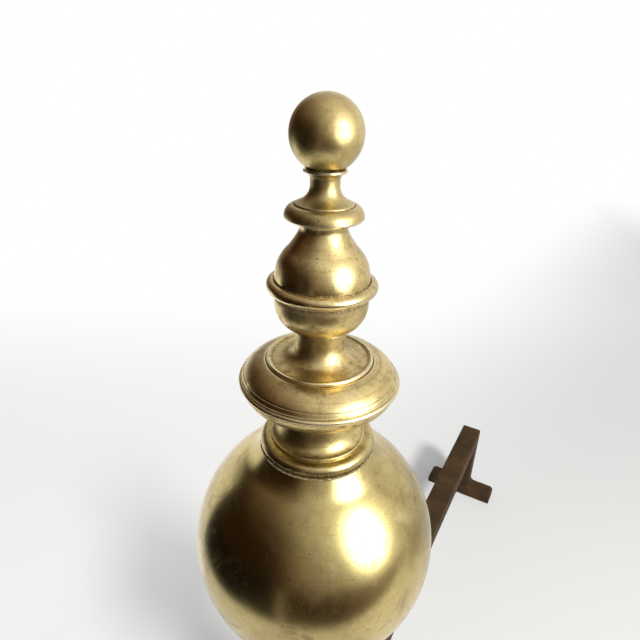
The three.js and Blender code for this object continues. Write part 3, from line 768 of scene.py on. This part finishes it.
class ANDIRON_OT_ball(bpy.types.Operator):
    """Turn the ball, whose two halves are brazed and dressed to one skin"""

    bl_idname = "andiron.ball"
    bl_label = "Ball"

    def execute(self, context):
        ball = Outline(BORE, 0).line((22.2, 0), (22.2, 0.5)).curve((25.2, 5.5), (28.5, 7.73), 12)
        ball.arc((0, 49.8), (50.8, 50.8), -55.9, 55.9, 96)
        ball.curve((25.2, 94.1), (22.2, 99.1), 12).line((22.2, 99.6), (BORE, 99.6))
        halves = ("ball_lower", "ball_upper")
        turned("ball_shell", halves, ball, sides=152, finish="polished_brass")
        return {"FINISHED"}


class ANDIRON_OT_collars(bpy.types.Operator):
    """Turn the half-round collars, and lay the ragged solder between them and the ball"""

    bl_idname = "andiron.collars"
    bl_label = "Collars"

    def execute(self, context):
        for name, node, flip in (
            ("collar_ring_upper", "collar_upper", False),
            ("collar_ring_lower", "collar_lower", True),
        ):
            ring = Outline(BORE, 0).line((21.1, 0))
            ring.arc((19.9, 2.6), (2.6, 2.6), -62, 90, 22).line((BORE, 5.2))
            turned(name, (node,), ring, sides=128, flip=flip)
            seam = high(node).z if flip else low(node).z
            self.solder(name.replace("ring", "solder"), seam)
        return {"FINISHED"}

    def solder(self, name, seam):
        """A thin ring of solder at that height, made ragged by a fine and a coarse noise."""
        fine, coarse, sides = 900, 120, 420
        thick = bpy.context.scene.andiron_sizes.solder
        bead = Outline(21.6 * MM, -thick).arc((22.1 * MM, 0), (thick * 1.6, thick), -70, 70, 8)
        bead.line((21.2 * MM, thick))
        bm = bmesh.new()
        revolve(bm, bead.points, Vector(), sides)
        weld(bm)
        face_outwards(bm)
        for vert in bm.verts:
            ragged = noise.fractal(vert.co * fine, 0.6, 2.1, 4)
            broad = noise.noise(vert.co * coarse + Vector((3, 1, 7)))
            outward = Vector((vert.co.x, vert.co.y, 0)).normalized()
            vert.co += outward * ((0.5 * ragged + 0.4 * broad - 0.1) * thick)
            vert.co.z += (0.8 * ragged + 0.5 * broad) * thick
        bmesh.ops.translate(bm, verts=bm.verts[:], vec=(COLUMN.x, COLUMN.y, seam))
        finished(bm, name, "pale_solder")


class ANDIRON_OT_stem(bpy.types.Operator):
    """Turn the stem below the ball: waisted neck, baluster and base"""

    bl_idname = "andiron.stem"
    bl_label = "Stem"

    def execute(self, context):
        neck = Outline(BORE, 0).line((14.0, 0)).arc((14.0, 2.5), (2.5, 2.5), -88, 88, 18)
        neck.line((12.1, 5.0), (11.5, 5.6)).line((11.5, 8.0))
        neck.curve((11.5, 17.0), (17.6, 19.2), 18).line((18.3, 19.2), (18.3, 20), (BORE, 20))
        turned("stem_cavetto", ("stem_neck",), neck)

        belly = Outline(BORE, 0).line((15, 0), (15, 1.2))
        belly.curve((25, 6.8), (25, 22.68), 24).curve((25, 30.24), (18, 35.64), 14)
        belly.curve((11, 41.04), (11, 49.4), 16).curve((11, 51.6), (12.6, 52.4), 6)
        belly.line((12.6, 54), (BORE, 54))
        turned("stem_belly", ("stem_baluster",), belly)

        torus = Outline(BORE, 0).line((24, 0)).arc((24, 4), (4, 4), -88, 88, 24)
        torus.line((23, 8), (23, 9.4)).curve((15, 9.4), (15, 16.6), 16)
        torus.line((17.6, 16.6), (17.6, 19), (BORE, 19))
        turned("stem_torus", ("stem_base",), torus, sides=128)
        return {"FINISHED"}


class ANDIRON_OT_plinth(bpy.types.Operator):
    """File the plinth: cap, die and base, with their edges eased"""

    bl_idname = "andiron.plinth"
    bl_label = "Plinth"

    def execute(self, context):
        edge = context.scene.andiron_sizes.casting_edge
        for name, node in (
            ("plinth_cornice", "plinth_cap"),
            ("plinth_box", "plinth_die"),
            ("plinth_block", "plinth_base"),
        ):
            eased_copy(name, node, "filed_brass", edge)
        return {"FINISHED"}


# ---- Legs ---------------------------------------------------------------------------------------


def limb(bm, stations, segments=28):
    """Extrudes an oval ring from station to station: middle, direction, depth and width of each."""

    def frame_at(station):
        centre, along, depth, width = station
        across = Vector((-along.z, 0, along.x)).normalized()
        side = Vector((0, 1, 0))
        forward = across.cross(side)
        turn = Matrix((across * depth / 2, side * width / 2, forward)).transposed().to_4x4()
        return Matrix.Translation(centre) @ turn

    ring = bmesh.ops.create_circle(bm, cap_ends=True, radius=1.0, segments=segments)["verts"]
    face = ring[0].link_faces[0]
    bmesh.ops.transform(bm, matrix=frame_at(stations[0]), verts=ring)
    for before, after in zip(stations, stations[1:]):
        grown = bmesh.ops.extrude_face_region(bm, geom=[face])["geom"]
        ring = [item for item in grown if isinstance(item, bmesh.types.BMVert)]
        face = next(item for item in grown if isinstance(item, bmesh.types.BMFace))
        step = frame_at(after) @ frame_at(before).inverted()
        bmesh.ops.transform(bm, matrix=step, verts=ring)


def through(points, t):
    """A point and a direction on a smooth curve through the points."""
    spans = len(points) - 1
    span = min(int(t * spans), spans - 1)
    u = t * spans - span
    a, b = points[max(span - 1, 0)], points[span]
    c, d = points[span + 1], points[min(span + 2, spans)]
    if span == 0:
        a = b * 2 - c
    if span == spans - 1:
        d = c * 2 - b
    near, far = (c - a) / 2, (d - b) / 2
    place = (
        b * (2 * u**3 - 3 * u**2 + 1)
        + near * (u**3 - 2 * u**2 + u)
        + c * (3 * u**2 - 2 * u**3)
        + far * (u**3 - u**2)
    )
    slope = (
        b * (6 * u**2 - 6 * u)
        + near * (3 * u**2 - 4 * u + 1)
        + c * (6 * u - 6 * u**2)
        + far * (3 * u**2 - 2 * u)
    )
    return place, slope.normalized()


def smoothstep(value, start, end):
    t = min(max((value - start) / (end - start), 0.0), 1.0)
    return t * t * (3 - 2 * t)


class ANDIRON_OT_legs(bpy.types.Operator):
    """Cast the arched front legs with their spurs and ball feet, and drive their pins"""

    bl_idname = "andiron.legs"
    bl_label = "Front legs"

    def execute(self, context):
        for side, node in ((1, "leg_right"), (-1, "leg_left")):
            self.leg(node, side)
        edge, sharp = 0.25 * MM, math.radians(60)
        for node in ("leg_pin_right", "leg_pin_left"):
            eased_copy(node.replace("pin", "peg"), node, "filed_brass", edge, sharp)
        return {"FINISHED"}

    def leg(self, node, side):
        """Casts the right leg, or its mirror image where side is -1."""
        foot = Vector((106 * MM, COLUMN.y, 0))
        arch = self.arch(foot)
        knee, _ = through(arch, 0.5)
        bm = bmesh.new()
        self.shaft(bm, arch)
        self.spur(bm, knee)
        self.ball_foot(bm, foot)
        weld(bm)
        if side < 0:
            bmesh.ops.scale(bm, vec=(-1, 1, 1), verts=bm.verts[:])
        face_outwards(bm)
        piece = finished(bm, node + "_casting", "filed_brass")
        fused = piece.modifiers.new("fused", "REMESH")
        fused.mode = "VOXEL"
        fused.voxel_size = bpy.context.scene.andiron_sizes.leg_voxel
        fused.use_smooth_shade = True
        eased = piece.modifiers.new("eased", "SMOOTH")
        eased.factor = 0.5
        eased.iterations = 3
        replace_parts(piece, node)

    def arch(self, foot):
        """Points along the middle of the leg, from its tenon over the knee and down into its foot."""
        root = Vector((23.6 * MM, foot.y, middle("leg_pin_right").z))
        ankle, sunk, rise = 27.2 * MM, 3 * MM, 5 * MM
        run, drop = foot.x - root.x, root.z - ankle
        return [
            root,
            root + Vector((run * 0.24, 0, rise)),
            root + Vector((run * 0.5, 0, -drop * 0.06)),
            root + Vector((run * 0.74, 0, -drop * 0.42)),
            root + Vector((run * 0.9, 0, -drop * 0.82)),
            Vector((foot.x, foot.y, ankle - sunk)),
        ]

    def shaft(self, bm, arch):
        """The arched limb, which tapers from the block to the ankle. Sizes are depth and width."""
        at_root, at_ankle = Vector((24, 17)) * MM, Vector((10, 10)) * MM
        steps = 48
        stations = []
        for step in range(steps + 1):
            t = step / steps
            centre, along = through(arch, t)
            if step == 0:
                along = Vector((1, 0, 0))  # square to the block
            size = at_root.lerp(at_ankle, smoothstep(t, 0.08, 0.88))
            stations.append((centre, along, size.x, size.y))
        limb(bm, stations)

    def spur(self, bm, knee):
        """The pointed spur that curls up from the knee."""
        reach, thick, steps = 17 * MM, 9.2 * MM, 16
        curl = ((0, 0), (0.45, 0.22), (0.75, 0.42), (0.95, 0.75))
        points = [knee + Vector((out, 0, up)) * reach for out, up in curl]
        stations = []
        for step in range(steps + 1):
            t = step / steps
            centre, along = through(points, t)
            size = thick * (1 - 0.9 * t**1.3)
            stations.append((centre, along, size, size * 0.8))
        limb(bm, stations, 20)

    def ball_foot(self, bm, foot):
        """The turned ball, its pad below and the ring at the ankle."""
        edge, sides = 0.3, 72
        ball = Outline(0, 0).line((10.2, 0), (11, 0.8), (11, 3.0), (10.0, 3.6))
        ball.arc((0, 14.7), (13.5, 13.5), -46, 59.3, 40)
        ball.line((8.0, 26.3)).arc((6.6, 27.1), (1.4, 0.9), -60, 60, 8).line((4.6, 28.4), (0, 28.4))
        revolve(bm, [point * MM for point in ball.eased(edge)], foot, sides, closed=False)


# ---- Iron ---------------------------------------------------------------------------------------


def extruded(corners, along):
    """Draws a flat face on the corners out into a solid."""
    bm = bmesh.new()
    face = bm.faces.new([bm.verts.new(corner) for corner in corners])
    grown = bmesh.ops.extrude_face_region(bm, geom=[face])["geom"]
    moved = [item for item in grown if isinstance(item, bmesh.types.BMVert)]
    bmesh.ops.translate(bm, vec=along, verts=moved)
    face_outwards(bm)
    return bm


def forged(bm, name, node, edge, unevenness):
    """Rounds the edges of an iron piece, and leaves its faces a little uneven from the hammer."""
    # How far apart the cuts are that let a face bend, what stays flat below, and the marks per metre.
    spacing, sole, marks = 8 * MM, 0.2 * MM, 45
    round_edges(bm, edge, math.radians(40))
    for axis in range(3):
        start, end = low(node)[axis], high(node)[axis]
        cuts = int((end - start) / spacing)
        for cut in range(1, cuts + 1):
            place, normal = Vector(), Vector()
            place[axis] = start + (end - start) * cut / (cuts + 1)
            normal[axis] = 1
            geom = bm.verts[:] + bm.edges[:] + bm.faces[:]
            bmesh.ops.bisect_plane(bm, geom=geom, dist=WELD, plane_co=place, plane_no=normal)
    ground, centre = low(node).z, middle(node).x
    for vert in bm.verts:
        if vert.co.z > ground + sole:
            shift = noise.noise_vector(vert.co * marks) * unevenness
            vert.co.x -= abs(shift.x) * math.copysign(1, vert.co.x - centre)
            vert.co.z -= abs(shift.z)
    face_outwards(bm)
    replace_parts(finished(bm, name, "scaled_iron"), node)


class ANDIRON_OT_billet_bar(bpy.types.Operator):
    """Forge the billet bar and its rear leg, bent from one square bar"""

    bl_idname = "andiron.billet_bar"
    bl_label = "Billet bar"

    def execute(self, context):
        thick, bend, unevenness = 20.6 * MM, 3.4 * MM, 0.25 * MM
        start, end = low("billet_bar"), high("billet_bar")
        under, inside, foot = end.z - thick, end.y - thick, high("rear_foot").z
        side = Outline(start.y, under).line((inside, under), (inside, foot), (end.y, foot))
        side.arc((end.y - bend, end.z - bend), (bend, bend), 0, 90, 6).line((start.y, end.z))
        bar = extruded([(start.x, y, z) for y, z in side.points], (end.x - start.x, 0, 0))
        edge = context.scene.andiron_sizes.bar_edge
        forged(bar, "billet_bar_forging", "billet_bar", edge, unevenness)
        return {"FINISHED"}


class ANDIRON_OT_rear_foot(bpy.types.Operator):
    """Forge the T-shaped rear foot that the rear leg is riveted into"""

    bl_idname = "andiron.rear_foot"
    bl_label = "Rear foot"

    def execute(self, context):
        fillet, tip, edge, unevenness = 5 * MM, 5 * MM, 1.0 * MM, 0.2 * MM
        start, end = low("rear_foot"), high("rear_foot")
        neck, shoulder = half_width("billet_bar"), end.z - fillet
        half = Outline(end.x, 0).arc((end.x - tip, shoulder - tip), (tip, tip), 0, 90, 6)
        half.arc((neck + fillet, end.z), (fillet, fillet), 270, 180, 6)
        corners = [(x, start.y, z) for x, z in half.points]
        corners += [(-x, start.y, z) for x, z in reversed(half.points)]
        foot = extruded(corners, (0, end.y - start.y, 0))
        forged(foot, "rear_foot_forging", "rear_foot", edge, unevenness)
        return {"FINISHED"}


class ANDIRON_OT_tie_rod(bpy.types.Operator):
    """Finish the tie rod, with its washer and nut under the bar"""

    bl_idname = "andiron.tie_rod"
    bl_label = "Tie rod"

    def execute(self, context):
        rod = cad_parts["tie_rod"]
        rod.data.materials.clear()
        rod.data.materials.append(material("dull_iron"))
        for name, node, edge, sharp in (
            ("rod_washer_ring", "rod_washer", 0.3 * MM, math.radians(60)),
            ("rod_nut_hex", "rod_nut", 0.5 * MM, math.radians(50)),
        ):
            eased_copy(name, node, "dull_iron", edge, sharp)
        return {"FINISHED"}


# ---- The studio ---------------------------------------------------------------------------------


def toward(azimuth, elevation, distance, target):
    """A place that far from the target, at an azimuth from straight in front and an elevation."""
    flat = math.cos(elevation)
    back = Vector((math.sin(azimuth) * flat, -math.cos(azimuth) * flat, math.sin(elevation)))
    return target + back * distance


def compass(x, y, azimuth):
    """How far a place lies away from the camera, and how far to its right."""
    away = y * math.cos(azimuth) - x * math.sin(azimuth)
    right = x * math.cos(azimuth) + y * math.sin(azimuth)
    return away, right


def soft_lamp(name, place, size, power, colour=(1, 1, 1)):
    """A lamp with an oval face, turned to the ball, that the camera doesn't see."""
    lamp = bpy.data.lights.new(name, "AREA")
    lamp.shape = "ELLIPSE"
    lamp.size, lamp.size_y = size
    lamp.energy = power
    lamp.color = colour
    holder = bpy.data.objects.new(name, lamp)
    holder.location = place
    holder.rotation_euler = (BALL - place).to_track_quat("-Z", "Y").to_euler()
    holder.visible_camera = False
    bpy.context.scene.collection.objects.link(holder)
    return holder


class ANDIRON_OT_studio(bpy.types.Operator):
    """Set up the camera, the soft lamps, the pale floor, the white card and the backdrop"""

    bl_idname = "andiron.studio"
    bl_label = "Studio"

    def execute(self, context):
        studio = context.scene.andiron_studio
        self.camera(context, studio)
        self.lamps(studio)
        self.floor(studio)
        self.card(studio)
        self.backdrop(context, studio)
        context.scene.view_settings.view_transform = "Standard"
        return {"FINISHED"}

    def camera(self, context, studio):
        lens = bpy.data.cameras.new("camera")
        lens.lens = studio.lens
        lens.sensor_width = 36
        lens.clip_start = 10 * MM
        holder = bpy.data.objects.new("camera", lens)
        place = toward(studio.azimuth, elevation=0, distance=studio.distance, target=BALL)
        place.z += studio.height
        turn = (
            Matrix.Rotation(studio.azimuth + studio.yaw, 4, "Z")
            @ Matrix.Rotation(math.pi / 2 - studio.pitch, 4, "X")
            @ Matrix.Rotation(studio.roll, 4, "Z")
        )
        holder.matrix_world = Matrix.Translation(place) @ turn
        context.scene.collection.objects.link(holder)
        context.scene.camera = holder

    def lamps(self, studio):
        """A near lamp at the right for the shine alone, and one overhead for what is matt alone."""
        near = toward(
            studio.azimuth + math.radians(53),
            elevation=math.radians(27.5),
            distance=0.43,
            target=BALL,
        )
        cool = (0.94, 1.0, 1.0)
        key = soft_lamp("key_lamp", near, (0.31, 0.38), studio.key_power, cool)
        key.visible_diffuse = False
        over = toward(
            studio.azimuth + math.radians(36),
            elevation=math.radians(50),
            distance=1.8,
            target=BALL,
        )
        top = soft_lamp("top_lamp", over, (0.35, 0.35), studio.top_power)
        top.visible_glossy = False

    def floor(self, studio):
        """The pale floor, cut short in front so that the brass mirrors the dimness below it, with a
        painted white glow.
        """
        reach, front = 10.0, 0.42
        bm = bmesh.new()
        bmesh.ops.create_grid(bm, x_segments=1, y_segments=1, size=reach)
        for turn in (-70, -30, 5):
            edge = toward(studio.azimuth + math.radians(turn), 0, front, COLUMN)
            bmesh.ops.bisect_plane(
                bm,
                geom=bm.verts[:] + bm.edges[:] + bm.faces[:],
                dist=WELD,
                plane_co=edge,
                plane_no=(edge - COLUMN).normalized(),
                clear_outer=True,
            )
        paper = Finish(bpy.data.materials.new("floor_paper"))
        x, y = paper.parts(paper.place())[:2]
        away, right = compass(x, y - COLUMN.y, studio.azimuth)
        # Painted glow: the floor glows white to the camera and in reflections, more behind the andiron
        # and at its left, and fully far off.
        behind = paper.ramp(away, 0.3, 0.95)
        behind_left = paper.ramp(away * 0.7 - right * 0.9, -0.1, 0.45)
        distant = paper.ramp((away * away + right * right) ** 0.5, 0.9, 2.5)
        white = (behind_left * 0.6 + behind * 0.4).most(distant)
        dull = {"Base Color": opaque(studio.floor), "Roughness": 0.8}
        surface = paper.laid_over(
            paper.node("ShaderNodeBsdfPrincipled", inputs=dull),
            paper.glow(1.0),
            white * paper.ray("Camera").most(paper.ray("Glossy")),
        )
        placed(bm, "floor", surface)

    def card(self, studio):
        """A low white card at the left, behind the ball, that fades at its top and is only mirrored."""
        distance, top, fade = 0.3, 0.44, 0.1
        start, end = [
            toward(studio.azimuth + math.radians(turn), 0, distance, COLUMN) for turn in (-172, -108)
        ]
        up = Vector((0, 0, top))
        bm = bmesh.new()
        bm.faces.new([bm.verts.new(corner) for corner in (start, end, end + up, start + up)])
        white = Finish(bpy.data.materials.new("card_paper"))
        z = white.parts(white.place())[2]
        surface = white.laid_over(white.glow(0.25), white.glow(1.2), white.ramp(z, top, top - fade))
        card = placed(bm, "white_card", surface)
        card.visible_camera = False
        card.visible_diffuse = False
        card.visible_shadow = False

    def backdrop(self, context, studio):
        """White behind the andiron, dimmer and warmer around it, and darkest at the left."""
        dim, fill = 0.25, 0.27
        black, neutral = 0.025, 0.625
        context.scene.world = bpy.data.worlds.new("studio")
        world = Finish(context.scene.world)
        x, y, z = world.parts(world.node("ShaderNodeTexCoord", output="Generated"))
        away, right = compass(x, y, studio.azimuth)

        # Each part of the surroundings by where it lies: away from the camera, to its right, and up.
        paper = world.ramp(away, 0.2, 0.65) * world.ramp(z, 0.8, 0.45) * world.ramp(right, -0.5, 0.0)
        shade = world.ramp(right, -0.2, -0.6) * world.ramp(away, 0.95, 0.5) * world.ramp(z, 0.9, 0.3)
        ceiling = world.ramp(z, 0.2, 1.0) * world.ramp(right, -0.7, 0.25)
        to_key = right * 0.71 + z * 0.5 - away * 0.497
        halo = world.ramp(to_key, 0.2, 0.85) * 0.25 + world.ramp(to_key, 0.72, 1.0) * 0.4
        side = world.ramp(right, 0.4, 0.95)
        below = world.ramp(z, -0.02, -0.2)
        strip = world.ramp(abs(right - away * 0.455), 0.06, 0.02)
        strip = strip * world.ramp(z, -0.1, -0.2) * world.ramp(away, -0.4, -0.6)

        # How bright they are. What is neither seen nor mirrored gives an even fill.
        around = dim * (1 - shade * 0.9) + ceiling * 0.55 + halo + side * 0.5
        around = around * (1 - paper) + paper
        around = around * (1 - below * 0.75) + strip * 0.45
        camera, mirrored = world.ray("Camera"), world.ray("Glossy")
        strength = (around * mirrored + fill * (1 - mirrored)) * (1 - camera) + camera
        pale = ((around.most(black) - black) / (neutral - black)) ** 0.5
        tint = world.mix(pale.most(1 - mirrored), WARM_DIMNESS, WHITE)
        light = world.node("ShaderNodeBackground", inputs={"Color": tint, "Strength": strength})
        world.node("ShaderNodeOutputWorld", inputs={"Surface": light})


# ---- Add-on -------------------------------------------------------------------------------------


class ANDIRON_PT_panel(bpy.types.Panel):
    """Sizes, colours and pieces of the andiron"""

    bl_idname = "ANDIRON_PT_panel"
    bl_label = "Andiron"
    bl_space_type = "VIEW_3D"
    bl_region_type = "UI"
    bl_category = "Andiron"

    def draw(self, context):
        scene = context.scene
        for group in (scene.andiron_sizes, scene.andiron_finish, scene.andiron_studio):
            box = self.layout.box()
            for name in group.bl_rna.properties.keys():
                if name not in ("rna_type", "name"):
                    box.prop(group, name)
        for operator in PIECES:
            self.layout.operator(operator.bl_idname)


PIECES = (
    ANDIRON_OT_finial,
    ANDIRON_OT_vase,
    ANDIRON_OT_disc,
    ANDIRON_OT_collars,
    ANDIRON_OT_ball,
    ANDIRON_OT_stem,
    ANDIRON_OT_plinth,
    ANDIRON_OT_legs,
    ANDIRON_OT_tie_rod,
    ANDIRON_OT_billet_bar,
    ANDIRON_OT_rear_foot,
    ANDIRON_OT_studio,
)
CLASSES = (AndironSizes, AndironFinish, AndironStudio, *PIECES, ANDIRON_PT_panel)


def register():
    for cls in CLASSES:
        bpy.utils.register_class(cls)
    bpy.types.Scene.andiron_sizes = PointerProperty(type=AndironSizes)
    bpy.types.Scene.andiron_finish = PointerProperty(type=AndironFinish)
    bpy.types.Scene.andiron_studio = PointerProperty(type=AndironStudio)


def unregister():
    del bpy.types.Scene.andiron_studio
    del bpy.types.Scene.andiron_finish
    del bpy.types.Scene.andiron_sizes
    for cls in reversed(CLASSES):
        bpy.utils.unregister_class(cls)


def main():
    register()
    for operator in PIECES:
        group, name = operator.bl_idname.split(".")
        getattr(getattr(bpy.ops, group), name)()


if __name__ == "__main__":
    main()
